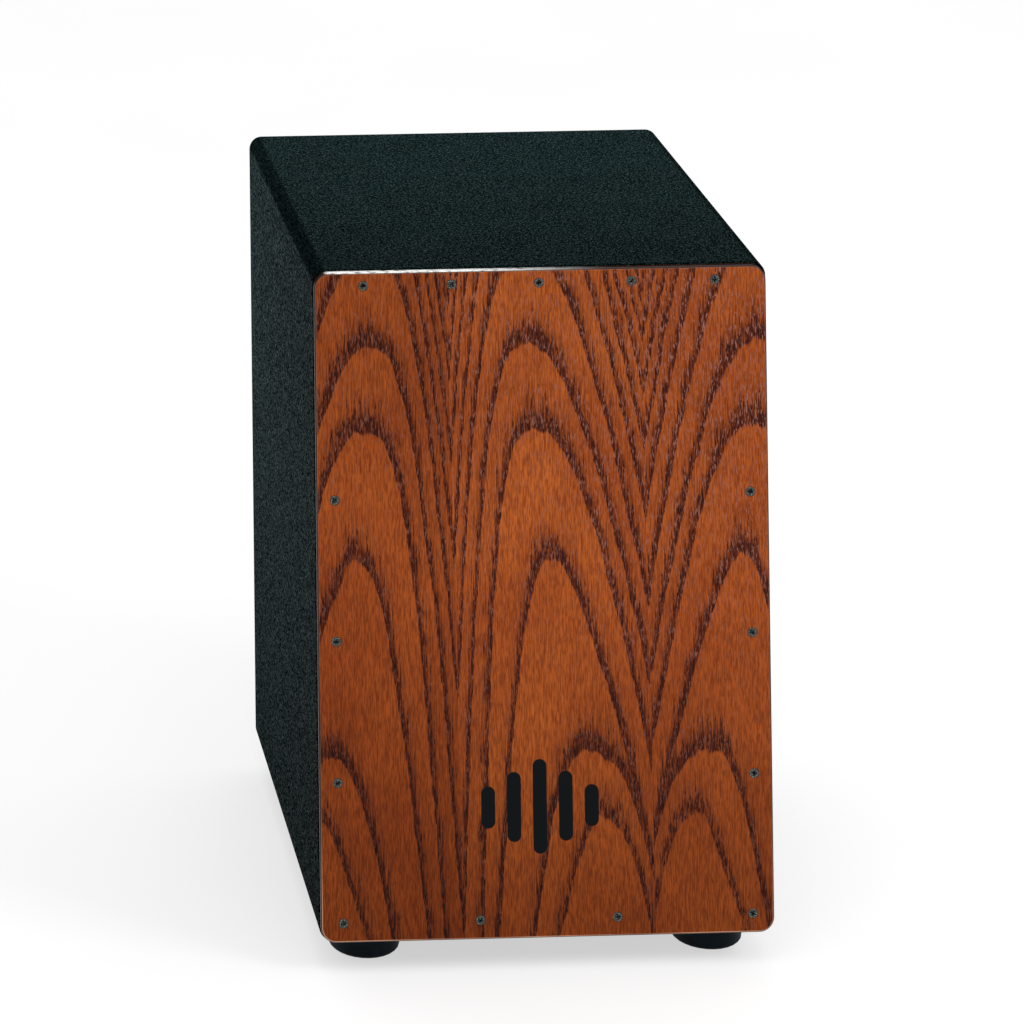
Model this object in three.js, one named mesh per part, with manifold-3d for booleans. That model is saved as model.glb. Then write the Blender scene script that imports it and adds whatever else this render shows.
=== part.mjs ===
// A string cajon: a box drum that the player sits on and strikes on its front plate.
// Millimetres. X runs to the right as seen from in front of the plate, Y runs from the front
// plate to the back and Z runs up. The origin is on the floor, under the middle of the box.

import * as THREE from 'three';
import { mergeVertices } from 'three/addons/utils/BufferGeometryUtils.js';
import Module from 'manifold-3d';

const wasm = await Module();
wasm.setup();

// ---- Driving dimensions -------------------------------------------------------------------

// the box
const WIDTH = 299;
const DEPTH = 304; // from the plate's face to the back
const BOX_HEIGHT = 434; // without the feet
const WALL = 16;
const EDGE_RADIUS = 9; // the four long edges, front to back
const BACK_EDGE_RADIUS = 3;
const BACK_THICKNESS = 6;
const REBATE = 8; // how far the back panel reaches into each wall
const SOUND_HOLE_RADIUS = 60;
const SOUND_HOLE_ROUNDING = 2;

// the front plate
const PLATE_THICKNESS = 4;
const PLATE_ARRIS = 1;
const PLATE_CORNER = 10;
const PLATE_SIDE_INSET = 0.6; // how much the plate stands in from the box on either side
const PLATE_TOP_INSET = 1.2; // and at the top; its bottom is flush with the box

// the screws through the plate: where they stand, and their shape
const TOP_SCREWS_X = [-116.5, -58.5, -1, 60, 115]; // a row set out by eye
const TOP_SCREW_DROP = 9.9; // from the top of the box
const SIDE_SCREW_INSET = 12.7; // from the side of the box
const SIDE_SCREW_LOWEST = 103; // from the bottom of the box
const SIDE_SCREW_SPACING = 91.3;
const SIDE_SCREWS = [0, 1, 2];
const BOTTOM_SCREWS_X = [-134, -44.3, 45.8, 134.8];
const BOTTOM_SCREW_RISE = 12.4; // from the bottom of the box
const PLATE_SCREW = { head: 3.1, rim: 0.25, cone: 1.8, shank: 1.75, point: 3, length: 20 };
const PLATE_SCREW_SINK = 0.15; // below the plate's face
const SCREW_TURN = 2.4; // radians from one screw's cross to the next one's
const CROSS = { halfLength: 1.75, halfWidth: 0.42, depth: 1.5 };

// the feet and what holds them
const FOOT_RADIUS = 23.3;
const FOOT_HEIGHT = 21;
const FOOT_X = 114; // from the middle of the box
const FOOT_INSET = 39.5; // from the front and the back of the box
const FOOT_SOLE_ROUNDING = 2;
const FOOT_TOP_CHAMFER = 0.8;
const FOOT_RECESS = { radius: 8.5, depth: 10 };
const FOOT_WASHER = { outer: 7.5, inner: 2.7, thickness: 1.6 };
const FOOT_SCREW = { head: 4.5, headHeight: 3, shank: 2.2, length: 23 };
const FOOT_PILOT_DEPTH = 13.5;

// the battens and the string bars
const BATTEN = 12; // square section
const BAR_DEPTH = 26;
const BAR_HEIGHT = 20;
const FERRULE_GROOVE = { depth: 4.5, height: 7 }; // clears the upper ends of the strings
const SMALL_SCREW = { head: 3.4, headHeight: 2.2, shank: 1.6, length: 12 };
const SMALL_PILOT_DEPTH = 13;

// the strings
const STRING_RADIUS = 0.45;
const STRING_INSET = 1.4; // from the plate's inner face to the middle of a string
const STRING_SPREAD_LOW = 7; // from the tuner's axis, at the tension block
const STRING_SPREAD_HIGH = 32; // from the tuner's axis, at the anchor plate
const STRING_FLATS = 8;
const SLOT_HALF_WIDTH = 0.85;
const FERRULE = { radius: 1.1, length: 4 };
const ANCHOR_PLATE = { thickness: 2, backGap: 2, endGap: 1 };
const ANCHOR_SCREWS_X = [-112, -62, 62, 112];
const ANCHOR_SCREW_INSET = 17; // from the front of the box

// the two string tuners
const TUNER_SIDES = [-1, 1];
const TUNER_X = 62; // from the middle of the box
const TUNER_INSET = 14; // from the front of the box
const TUNER_SCREW = { head: 5, headHeight: 6, chamfer: 0.5, shank: 3, point: 1, length: 60 };
const TUNER_SOCKET = { radius: 2.9, depth: 3.2 };
const TUNER_WASHER = { outer: 5.8, inner: 3.3, thickness: 1.6 };
const TUNER_PLAY = 0.05; // between the screw's head and its washer
const TUNER_CLEARANCE = 0.5;
const COUNTERBORE = { radius: 6.3, depth: 9 };
const BLOCK = { rise: 10, height: 12, halfWidth: 12, slideGap: 0.4 };
const GUIDE = { halfWidth: 14, thickness: 1.8, foot: 2, head: 6 };
const GUIDE_SCREWS_X = [-8, 8]; // from the tuner's axis
const GUIDE_SCREW_RISE = 10; // from the floor of the box

const SCREW_CLEARANCE = 0.3;
const JOINT_GAP = 0.3;
const OVERCUT = 1; // how far a cutter reaches past what it cuts

// How many flats stand for a full circle, by the size of the round.
const LARGE_ROUND = 48;
const MEDIUM_ROUND = 28;
const SMALL_ROUND = 20;
const SCREW_ROUND = 12;
const HEXAGON = 6;

// ---- Places worked out from them ----------------------------------------------------------

const FACE_Y = -DEPTH / 2;
const FRONT_Y = FACE_Y + PLATE_THICKNESS;
const BACK_Y = DEPTH / 2;
const BASE_Z = FOOT_HEIGHT;
const TOP_Z = BASE_Z + BOX_HEIGHT;
const OUTER_X = WIDTH / 2;
const INNER_X = OUTER_X - WALL;
const FLOOR_Z = BASE_Z + WALL;
const CEILING_Z = TOP_Z - WALL;
const LOW_BAR_TOP = FLOOR_Z + BAR_HEIGHT;
const HIGH_BAR_BOTTOM = CEILING_Z - BAR_HEIGHT;
const BAR_BACK_Y = FRONT_Y + BAR_DEPTH;
const ANCHOR_SCREW_Y = FRONT_Y + ANCHOR_SCREW_INSET;
const TUNER_Y = FRONT_Y + TUNER_INSET;
const TUNER_SEAT_Z = BASE_Z + COUNTERBORE.depth - TUNER_WASHER.thickness;
const BLOCK_BOTTOM = LOW_BAR_TOP + BLOCK.rise;
const BLOCK_TOP = BLOCK_BOTTOM + BLOCK.height;
const STRING_Y = FRONT_Y + STRING_INSET;
const STRING_LOW_Z = BLOCK_BOTTOM - JOINT_GAP - FERRULE.length;
const STRING_HIGH_Z = HIGH_BAR_BOTTOM + JOINT_GAP + FERRULE.length;

// ---- Materials ----------------------------------------------------------------------------

function finish(colour, roughness, metalness) {
  return new THREE.MeshStandardMaterial({ color: colour, roughness, metalness });
}

const blackCoat = () => finish(0x15201f, 0.75, 0);
const ashVeneer = () => finish(0x96482a, 0.35, 0);
const plainWood = () => finish(0xc9a878, 0.7, 0);
const blackRubber = () => finish(0x0c0c0d, 0.8, 0);
const blackSteel = () => finish(0x1c1c1e, 0.4, 0.9);
const brightSteel = () => finish(0xb8babd, 0.3, 1);
const aluminium = () => finish(0xc4c6c8, 0.45, 1);

// ---- Shapes and cutting -------------------------------------------------------------------

// A closed geometry as a solid that can be cut and joined.
function solid(geometry) {
  const plain = new THREE.BufferGeometry();
  plain.setAttribute('position', geometry.getAttribute('position'));
  plain.setIndex(geometry.index);
  const merged = mergeVertices(plain, 1e-4);
  const corners = merged.index.array;
  const triangles = [];
  for (let i = 0; i < corners.length; i += 3) {
    const [a, b, c] = corners.subarray(i, i + 3);
    if (a !== b && b !== c && c !== a) triangles.push(a, b, c);
  }
  return new wasm.Manifold(new wasm.Mesh({
    numProp: 3,
    vertProperties: merged.getAttribute('position').array,
    triVerts: Uint32Array.from(triangles),
  }));
}

function geometryOf(body) {
  const mesh = body.getMesh();
  const geometry = new THREE.BufferGeometry();
  geometry.setAttribute('position', new THREE.BufferAttribute(mesh.vertProperties, 3));
  geometry.setIndex(new THREE.BufferAttribute(mesh.triVerts, 1));
  geometry.computeVertexNormals();
  return geometry;
}

function cut(body, cutters) {
  return cutters.reduce((rest, cutter) => rest.subtract(solid(cutter)), body);
}

// A box between two opposite corners.
function boxBetween([x0, y0, z0], [x1, y1, z1]) {
  const box = new THREE.BoxGeometry(x1 - x0, y1 - y0, z1 - z0);
  return box.translate((x0 + x1) / 2, (y0 + y1) / 2, (z0 + z1) / 2);
}

// A profile of [radius, height] points turned about the upright axis.
function turned(profile, segments) {
  const points = profile.map(([radius, height]) => new THREE.Vector2(radius, height));
  return new THREE.LatheGeometry(points, segments).rotateX(Math.PI / 2);
}

// The same, with the axis laid along Y so that height runs towards the back.
function turnedBackwards(profile, segments) {
  return turned(profile, segments).rotateX(-Math.PI / 2);
}

// Points of a quarter circle between two angles, in degrees, for a turned profile.
function arc(centreRadius, centreHeight, radius, from, to, steps) {
  return Array.from({ length: steps + 1 }, (_, i) => {
    const angle = THREE.MathUtils.degToRad(from + (to - from) * i / steps);
    return [centreRadius + radius * Math.cos(angle), centreHeight + radius * Math.sin(angle)];
  });
}

// A board that stands upright from side to side, with round corners, between two depths. It
// stands in from the box's outline by the insets, and its back and front edges are rounded over.
function roundedBoard({ corner, sideInset, topInset, back, front, rounding }) {
  const outline = new THREE.Shape();
  const x = OUTER_X - sideInset - corner;
  const low = BASE_Z + corner;
  const high = TOP_Z - topInset - corner;
  outline.absarc(x, low, corner, -Math.PI / 2, 0);
  outline.absarc(x, high, corner, 0, Math.PI / 2);
  outline.absarc(-x, high, corner, Math.PI / 2, Math.PI);
  outline.absarc(-x, low, corner, Math.PI, 3 * Math.PI / 2);
  outline.closePath();
  const geometry = new THREE.ExtrudeGeometry(outline, {
    depth: back - front - 2 * rounding,
    curveSegments: 8,
    bevelThickness: rounding,
    bevelSize: rounding,
    bevelOffset: -rounding,
    bevelSegments: 3,
  });
  return geometry.rotateX(Math.PI / 2).translate(0, back - rounding, 0);
}

// ---- Screws through the front plate -------------------------------------------------------

// Places of the plate's screws. The top corners have none, so that they can slap.
function plateScrewPlaces() {
  const top = TOP_SCREWS_X.map((x) => [x, TOP_Z - TOP_SCREW_DROP]);
  const sideX = OUTER_X - SIDE_SCREW_INSET;
  const lowest = BASE_Z + SIDE_SCREW_LOWEST;
  const sides = [-sideX, sideX].flatMap((x) => {
    return SIDE_SCREWS.map((i) => [x, lowest + SIDE_SCREW_SPACING * i]);
  });
  const bottom = BOTTOM_SCREWS_X.map((x) => [x, BASE_Z + BOTTOM_SCREW_RISE]);
  return [...top, ...sides, ...bottom];
}

// A countersunk cross-head screw, with its head's face at y = 0 and its point towards the back.
function plateScrewGeometry() {
  const { head, rim, cone, shank, point, length } = PLATE_SCREW;
  const blank = solid(turnedBackwards([
    [0, 0],
    [head, 0],
    [head, rim],
    [shank, rim + cone],
    [shank, length - point],
    [0, length],
  ], SCREW_ROUND));
  return geometryOf(cut(blank, [0, Math.PI / 2].map(crossBlade)));
}

// One blade of the cross recess: a slot whose ends taper inwards as it gets deeper.
function crossBlade(angle) {
  const { halfLength, halfWidth, depth } = CROSS;
  const profile = new THREE.Shape();
  profile.moveTo(-halfLength, OVERCUT);
  profile.lineTo(halfLength, OVERCUT);
  profile.lineTo(halfLength, 0);
  profile.lineTo(halfLength / 3, -depth);
  profile.lineTo(-halfLength / 3, -depth);
  profile.lineTo(-halfLength, 0);
  profile.closePath();
  const blade = new THREE.ExtrudeGeometry(profile, { depth: 2 * halfWidth, bevelEnabled: false });
  return blade.translate(0, 0, -halfWidth).rotateX(Math.PI).rotateY(angle);
}

// The countersunk hole that such a screw needs in the plate.
function countersink([x, z]) {
  const { head, rim, cone, shank } = PLATE_SCREW;
  const wide = head + SCREW_CLEARANCE;
  const narrow = shank + SCREW_CLEARANCE;
  const profile = [
    [0, -OVERCUT],
    [wide, -OVERCUT],
    [wide, PLATE_SCREW_SINK + rim],
    [narrow, PLATE_SCREW_SINK + rim + cone],
    [narrow, PLATE_THICKNESS + OVERCUT],
    [0, PLATE_THICKNESS + OVERCUT],
  ];
  return turnedBackwards(profile, SCREW_ROUND).translate(x, FACE_Y, z);
}

// The pilot hole for it in the edge of a panel.
function pilotHole([x, z]) {
  const radius = PLATE_SCREW.shank + SCREW_CLEARANCE;
  return levelHole(x, z, radius, FRONT_Y - OVERCUT, FACE_Y + PLATE_SCREW.length + OVERCUT);
}

// ---- Round holes and pan-head screws ------------------------------------------------------

// A hole that runs front to back between two depths.
function levelHole(x, z, radius, front, back) {
  const profile = [[0, front], [radius, front], [radius, back], [0, back]];
  return turnedBackwards(profile, SCREW_ROUND).translate(x, 0, z);
}

function uprightHole(x, y, radius, low, high, segments = SMALL_ROUND) {
  return turned([[0, low], [radius, low], [radius, high], [0, high]], segments).translate(x, y, 0);
}

// A pan-head wood screw with a cross recess. Its head's bearing face is at z = 0 and its shank
// runs up from there.
function panScrewGeometry({ head, headHeight, shank, length }) {
  const dome = arc(head - headHeight / 2, -headHeight / 2, headHeight / 2, -90, 0, 2);
  const blank = solid(turned([
    [0, -headHeight],
    ...dome,
    [head, 0],
    [shank, 0],
    [shank, length - 2 * shank],
    [0, length],
  ], SCREW_ROUND));
  const recess = [0, Math.PI / 2].map((angle) => {
    return crossBlade(angle).rotateX(Math.PI / 2).translate(0, 0, -headHeight);
  });
  return geometryOf(cut(blank, recess));
}

// ---- Box panels ---------------------------------------------------------------------------

// The whole box as one block. Its rounded front edge is out in front, where nothing is left.
function boxEnvelope() {
  return solid(roundedBoard({
    corner: EDGE_RADIUS,
    sideInset: 0,
    topInset: 0,
    back: BACK_Y,
    front: FRONT_Y - 2 * BACK_EDGE_RADIUS,
    rounding: BACK_EDGE_RADIUS,
  }));
}

function backRebate() {
  const x = INNER_X + REBATE;
  return boxBetween(
    [-x, BACK_Y - BACK_THICKNESS, FLOOR_Z - REBATE],
    [x, BACK_Y + OVERCUT, CEILING_Z + REBATE],
  );
}

// One wall of the box: a slab trimmed to the rounded outline, rebated for the back panel and
// drilled for the plate's screws.
function wall(low, high, holes) {
  const slab = boxEnvelope().intersect(solid(boxBetween(low, high)));
  const pilots = plateScrewPlaces()
    .filter(([x, z]) => x > low[0] && x < high[0] && z > low[2] && z < high[2])
    .map(pilotHole);
  return geometryOf(cut(slab, [backRebate(), ...pilots, ...holes]));
}

function seatPanel() {
  return wall([-OUTER_X, FRONT_Y, CEILING_Z], [OUTER_X, BACK_Y, TOP_Z], []);
}

function sidePanel(side) {
  const x = [side * INNER_X, side * OUTER_X].sort((a, b) => a - b);
  return wall([x[0], FRONT_Y, FLOOR_Z], [x[1], BACK_Y, CEILING_Z], []);
}

function basePanel() {
  const footPilots = footPlaces().map(([x, y]) => {
    const radius = FOOT_SCREW.shank + SCREW_CLEARANCE;
    return uprightHole(x, y, radius, BASE_Z - OVERCUT, BASE_Z + FOOT_PILOT_DEPTH, SCREW_ROUND);
  });
  const tunerHoles = TUNER_SIDES.flatMap((side) => {
    const x = side * TUNER_X;
    const bore = TUNER_SCREW.shank + TUNER_CLEARANCE;
    return [
      uprightHole(x, TUNER_Y, bore, BASE_Z - OVERCUT, FLOOR_Z + OVERCUT),
      uprightHole(x, TUNER_Y, COUNTERBORE.radius, BASE_Z - OVERCUT, BASE_Z + COUNTERBORE.depth),
    ];
  });
  return wall(
    [-OUTER_X, FRONT_Y, BASE_Z],
    [OUTER_X, BACK_Y, FLOOR_Z],
    [...footPilots, ...tunerHoles],
  );
}

function backPanel() {
  const x = INNER_X + REBATE - JOINT_GAP;
  const board = solid(boxBetween(
    [-x, BACK_Y - BACK_THICKNESS, FLOOR_Z - REBATE + JOINT_GAP],
    [x, BACK_Y, CEILING_Z + REBATE - JOINT_GAP],
  ));
  return geometryOf(cut(board, [soundHole()]));
}

// The round hole in the back panel, with both of its edges rounded over.
function soundHole() {
  const r = SOUND_HOLE_ROUNDING;
  const wide = SOUND_HOLE_RADIUS + r;
  const inner = BACK_Y - BACK_THICKNESS;
  const profile = [
    [0, inner - OVERCUT],
    [wide, inner - OVERCUT],
    ...arc(wide, inner + r, r, 270, 180, 3),
    ...arc(wide, BACK_Y - r, r, 180, 90, 3),
    [wide, BACK_Y + OVERCUT],
    [0, BACK_Y + OVERCUT],
  ];
  return turnedBackwards(profile, LARGE_ROUND).translate(0, 0, BASE_Z + BOX_HEIGHT / 2);
}

function frontPlate() {
  const board = solid(roundedBoard({
    corner: PLATE_CORNER,
    sideInset: PLATE_SIDE_INSET,
    topInset: PLATE_TOP_INSET,
    back: FRONT_Y + 2 * PLATE_ARRIS,
    front: FACE_Y,
    rounding: PLATE_ARRIS,
  }));
  const sheet = board.intersect(solid(boxBetween(
    [-OUTER_X, FACE_Y - OVERCUT, BASE_Z],
    [OUTER_X, FRONT_Y, TOP_Z],
  )));
  return geometryOf(cut(sheet, plateScrewPlaces().map(countersink)));
}

// ---- Battens and string bars behind the plate ---------------------------------------------

function sideBatten(side) {
  const x = [side * INNER_X, side * (INNER_X - BATTEN)].sort((a, b) => a - b);
  return boxBetween([x[0], FRONT_Y, LOW_BAR_TOP], [x[1], FRONT_Y + BATTEN, HIGH_BAR_BOTTOM]);
}

function upperStringBar() {
  const bar = boxBetween(
    [-INNER_X, FRONT_Y, HIGH_BAR_BOTTOM],
    [INNER_X, BAR_BACK_Y, CEILING_Z],
  );
  const groove = boxBetween(
    [-INNER_X + BATTEN, FRONT_Y - OVERCUT, HIGH_BAR_BOTTOM - OVERCUT],
    [INNER_X - BATTEN, FRONT_Y + FERRULE_GROOVE.depth, HIGH_BAR_BOTTOM + FERRULE_GROOVE.height],
  );
  const pilots = ANCHOR_SCREWS_X.map((x) => {
    const radius = SMALL_SCREW.shank + SCREW_CLEARANCE;
    return uprightHole(x, ANCHOR_SCREW_Y, radius, HIGH_BAR_BOTTOM - OVERCUT,
      HIGH_BAR_BOTTOM + SMALL_PILOT_DEPTH, SCREW_ROUND);
  });
  return geometryOf(cut(solid(bar), [groove, ...pilots]));
}

function lowerStringBar() {
  const bar = boxBetween([-INNER_X, FRONT_Y, FLOOR_Z], [INNER_X, BAR_BACK_Y, LOW_BAR_TOP]);
  const tunerHoles = TUNER_SIDES.map((side) => {
    const bore = TUNER_SCREW.shank + TUNER_CLEARANCE;
    return uprightHole(side * TUNER_X, TUNER_Y, bore, FLOOR_Z - OVERCUT, LOW_BAR_TOP + OVERCUT);
  });
  const guidePilots = TUNER_SIDES.flatMap(guideScrewPlaces).map(([x, z]) => {
    const radius = SMALL_SCREW.shank + SCREW_CLEARANCE;
    const end = BAR_BACK_Y + GUIDE.thickness - SMALL_PILOT_DEPTH;
    return levelHole(x, z, radius, end, BAR_BACK_Y + OVERCUT);
  });
  return geometryOf(cut(solid(bar), [...tunerHoles, ...guidePilots]));
}

// ---- Feet ---------------------------------------------------------------------------------

function footPlaces() {
  const y = [FRONT_Y + FOOT_INSET, BACK_Y - FOOT_INSET];
  return y.flatMap((place) => [[-FOOT_X, place], [FOOT_X, place]]);
}

function footGeometry() {
  const soft = FOOT_SOLE_ROUNDING;
  const bore = FOOT_SCREW.shank + SCREW_CLEARANCE;
  const profile = [
    [FOOT_RECESS.radius, 0],
    ...arc(FOOT_RADIUS - soft, soft, soft, -90, 0, 3),
    [FOOT_RADIUS, FOOT_HEIGHT - FOOT_TOP_CHAMFER],
    [FOOT_RADIUS - FOOT_TOP_CHAMFER, FOOT_HEIGHT],
    [bore, FOOT_HEIGHT],
    [bore, FOOT_RECESS.depth],
    [FOOT_RECESS.radius, FOOT_RECESS.depth],
    [FOOT_RECESS.radius, 0],
  ];
  return turned(profile, MEDIUM_ROUND);
}

function washerGeometry({ outer, inner, thickness }) {
  return turned([[inner, 0], [outer, 0], [outer, thickness], [inner, thickness], [inner, 0]],
    SMALL_ROUND);
}

// ---- Strings and their tuners -------------------------------------------------------------

const guideScrewPlaces = (side) => {
  return GUIDE_SCREWS_X.map((x) => [side * TUNER_X + x, FLOOR_Z + GUIDE_SCREW_RISE]);
};

// Where the two strings of one tuner run: [x at the low end, x at the high end].
function stringPair(side) {
  return [-1, 1].map((way) => [
    side * TUNER_X + way * STRING_SPREAD_LOW,
    side * TUNER_X + way * STRING_SPREAD_HIGH,
  ]);
}

// A slot that is open to the front, for one string, between two heights.
function stringSlot([lowX, highX], low, high) {
  const share = ((low + high) / 2 - STRING_LOW_Z) / (STRING_HIGH_Z - STRING_LOW_Z);
  const x = lowX + share * (highX - lowX);
  return boxBetween(
    [x - SLOT_HALF_WIDTH, FRONT_Y - OVERCUT, low - OVERCUT],
    [x + SLOT_HALF_WIDTH, STRING_Y + SLOT_HALF_WIDTH, high + OVERCUT],
  );
}

// A flat steel strip under the upper bar, with a slot for each string.
function anchorPlate() {
  const { thickness, backGap, endGap } = ANCHOR_PLATE;
  const low = HIGH_BAR_BOTTOM - thickness;
  const strip = boxBetween(
    [-INNER_X + BATTEN + endGap, FRONT_Y + JOINT_GAP, low],
    [INNER_X - BATTEN - endGap, BAR_BACK_Y - backGap, HIGH_BAR_BOTTOM],
  );
  const slots = TUNER_SIDES.flatMap(stringPair).map((run) => stringSlot(run, low, HIGH_BAR_BOTTOM));
  const holes = ANCHOR_SCREWS_X.map((x) => {
    return uprightHole(x, ANCHOR_SCREW_Y, SMALL_SCREW.shank + SCREW_CLEARANCE, low - OVERCUT,
      HIGH_BAR_BOTTOM + OVERCUT, SCREW_ROUND);
  });
  return geometryOf(cut(solid(strip), [...slots, ...holes]));
}

// The block that a tuning screw pulls down, with a slot for each of its two strings.
function tensionBlock(side) {
  const x = side * TUNER_X;
  const block = boxBetween(
    [x - BLOCK.halfWidth, FRONT_Y + JOINT_GAP, BLOCK_BOTTOM],
    [x + BLOCK.halfWidth, BAR_BACK_Y - BLOCK.slideGap, BLOCK_TOP],
  );
  const slots = stringPair(side).map((run) => stringSlot(run, BLOCK_BOTTOM, BLOCK_TOP));
  const radius = TUNER_SCREW.shank + SCREW_CLEARANCE;
  const bore = uprightHole(x, TUNER_Y, radius, BLOCK_BOTTOM - OVERCUT, BLOCK_TOP + OVERCUT);
  return geometryOf(cut(solid(block), [...slots, bore]));
}

// A socket-head screw, head down, with its bearing face at z = 0.
function tuningScrew() {
  const { head, headHeight, chamfer, shank, point, length } = TUNER_SCREW;
  const blank = solid(turned([
    [0, -headHeight],
    [head - chamfer, -headHeight],
    [head, chamfer - headHeight],
    [head, 0],
    [shank, 0],
    [shank, length - point],
    [shank - point, length],
    [0, length],
  ], SMALL_ROUND));
  const { radius, depth } = TUNER_SOCKET;
  const socket = turned([
    [0, -headHeight - OVERCUT],
    [radius, -headHeight - OVERCUT],
    [radius, depth - headHeight],
    [0, depth - headHeight],
  ], HEXAGON);
  return geometryOf(cut(blank, [socket]));
}

// A flat steel plate behind the block. The block's back face slides on it and cannot turn.
function guidePlate(side) {
  const x = side * TUNER_X;
  const plate = boxBetween(
    [x - GUIDE.halfWidth, BAR_BACK_Y, FLOOR_Z + GUIDE.foot],
    [x + GUIDE.halfWidth, BAR_BACK_Y + GUIDE.thickness, BLOCK_TOP + GUIDE.head],
  );
  const holes = guideScrewPlaces(side).map(([holeX, holeZ]) => {
    const radius = SMALL_SCREW.shank + SCREW_CLEARANCE;
    const back = BAR_BACK_Y + GUIDE.thickness + OVERCUT;
    return levelHole(holeX, holeZ, radius, BAR_BACK_Y - OVERCUT, back);
  });
  return geometryOf(cut(solid(plate), holes));
}

// A steel string with a crimped ferrule at each end, standing on z = 0.
function stringGeometry(length) {
  const { radius, length: crimp } = FERRULE;
  const wire = STRING_RADIUS;
  return turned([
    [0, 0],
    [radius, 0],
    [radius, crimp],
    [wire, crimp],
    [wire, length - crimp],
    [radius, length - crimp],
    [radius, length],
    [0, length],
  ], STRING_FLATS);
}

// ---- The whole object ---------------------------------------------------------------------

const cajon = new THREE.Group();

function add(name, geometry, material, position = [0, 0, 0], rotation = [0, 0, 0]) {
  const mesh = new THREE.Mesh(geometry, material);
  mesh.name = name;
  mesh.position.set(...position);
  mesh.rotation.set(...rotation);
  cajon.add(mesh);
}

add('seat_panel', seatPanel(), blackCoat());
add('base_panel', basePanel(), blackCoat());
add('left_side_panel', sidePanel(-1), blackCoat());
add('right_side_panel', sidePanel(1), blackCoat());
add('back_panel', backPanel(), blackCoat());
add('front_plate', frontPlate(), ashVeneer());
add('left_batten', sideBatten(-1), plainWood());
add('right_batten', sideBatten(1), plainWood());
add('upper_string_bar', upperStringBar(), plainWood());
add('lower_string_bar', lowerStringBar(), plainWood());

plateScrewPlaces().forEach(([x, z], i) => {
  const place = [x, FACE_Y + PLATE_SCREW_SINK, z];
  const name = `plate_screw_${String(i + 1).padStart(2, '0')}`;
  add(name, plateScrewGeometry(), blackSteel(), place, [0, i * SCREW_TURN, 0]);
});

const FOOT_NAMES = ['front_left', 'front_right', 'back_left', 'back_right'];
footPlaces().forEach(([x, y], i) => {
  const washerZ = FOOT_RECESS.depth - FOOT_WASHER.thickness;
  add(`${FOOT_NAMES[i]}_foot`, footGeometry(), blackRubber(), [x, y, 0]);
  add(`${FOOT_NAMES[i]}_foot_washer`, washerGeometry(FOOT_WASHER), brightSteel(), [x, y, washerZ]);
  add(`${FOOT_NAMES[i]}_foot_screw`, panScrewGeometry(FOOT_SCREW), brightSteel(), [x, y, washerZ]);
});

add('anchor_plate', anchorPlate(), brightSteel());
ANCHOR_SCREWS_X.forEach((x, i) => {
  const place = [x, ANCHOR_SCREW_Y, HIGH_BAR_BOTTOM - ANCHOR_PLATE.thickness];
  add(`anchor_screw_${i + 1}`, panScrewGeometry(SMALL_SCREW), brightSteel(), place);
});

TUNER_SIDES.forEach((side) => {
  const name = side < 0 ? 'left' : 'right';
  const x = side * TUNER_X;
  add(`${name}_tuning_screw`, tuningScrew(), blackSteel(),
    [x, TUNER_Y, TUNER_SEAT_Z - TUNER_PLAY]);
  add(`${name}_tuner_washer`, washerGeometry(TUNER_WASHER), brightSteel(),
    [x, TUNER_Y, TUNER_SEAT_Z]);
  add(`${name}_tension_block`, tensionBlock(side), aluminium());
  add(`${name}_guide_plate`, guidePlate(side), brightSteel());
  guideScrewPlaces(side).forEach(([screwX, screwZ], i) => {
    const place = [screwX, BAR_BACK_Y + GUIDE.thickness, screwZ];
    add(`${name}_guide_screw_${i + 1}`, panScrewGeometry(SMALL_SCREW), brightSteel(), place,
      [Math.PI / 2, 0, 0]);
  });
  stringPair(side).forEach(([low, high], i) => {
    const rise = STRING_HIGH_Z - STRING_LOW_Z;
    const tilt = Math.atan2(high - low, rise);
    const length = Math.hypot(high - low, rise);
    add(`${name}_string_${i + 1}`, stringGeometry(length), brightSteel(),
      [low, STRING_Y, STRING_LOW_Z], [0, tilt, 0]);
  });
});

export default cajon;
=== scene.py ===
"""Looks for a string cajon: stained ash plate, textured black box, rubber feet and inner strings.

Everything is in metres in the frame of the CAD model: X to the right, Y from the plate to the
back, Z up. Lengths inside the materials are in millimetres, because wood grain is easier to read so.
"""
import math

import bmesh
import bpy
from mathutils import Matrix, Vector


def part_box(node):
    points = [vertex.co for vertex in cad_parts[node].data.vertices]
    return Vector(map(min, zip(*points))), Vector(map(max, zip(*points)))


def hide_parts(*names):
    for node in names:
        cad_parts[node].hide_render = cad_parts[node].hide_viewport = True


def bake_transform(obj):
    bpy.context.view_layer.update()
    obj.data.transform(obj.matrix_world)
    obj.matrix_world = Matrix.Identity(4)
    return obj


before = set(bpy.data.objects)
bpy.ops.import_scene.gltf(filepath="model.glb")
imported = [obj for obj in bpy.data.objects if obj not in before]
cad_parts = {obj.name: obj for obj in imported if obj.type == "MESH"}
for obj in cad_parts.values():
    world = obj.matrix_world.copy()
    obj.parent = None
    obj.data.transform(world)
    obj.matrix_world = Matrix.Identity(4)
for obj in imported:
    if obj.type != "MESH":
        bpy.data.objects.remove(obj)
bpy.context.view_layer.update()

MM = 0.001
PLATE_LOW, PLATE_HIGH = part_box("front_plate")
BASE_LOW, BASE_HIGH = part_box("base_panel")
SEAT_LOW, SEAT_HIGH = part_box("seat_panel")
SIDE_LOW, SIDE_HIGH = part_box("left_side_panel")
BACK_LOW, BACK_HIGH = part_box("back_panel")


# ---- Shader arithmetic ---------------------------------------------------------------------


def linear(red, green, blue):
    """An 8-bit screen colour as the linear colour that the nodes work in."""
    def decode(value):
        share = value / 255
        return share / 12.92 if share <= 0.04045 else ((share + 0.055) / 1.055) ** 2.4
    return (decode(red), decode(green), decode(blue), 1.0)


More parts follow.
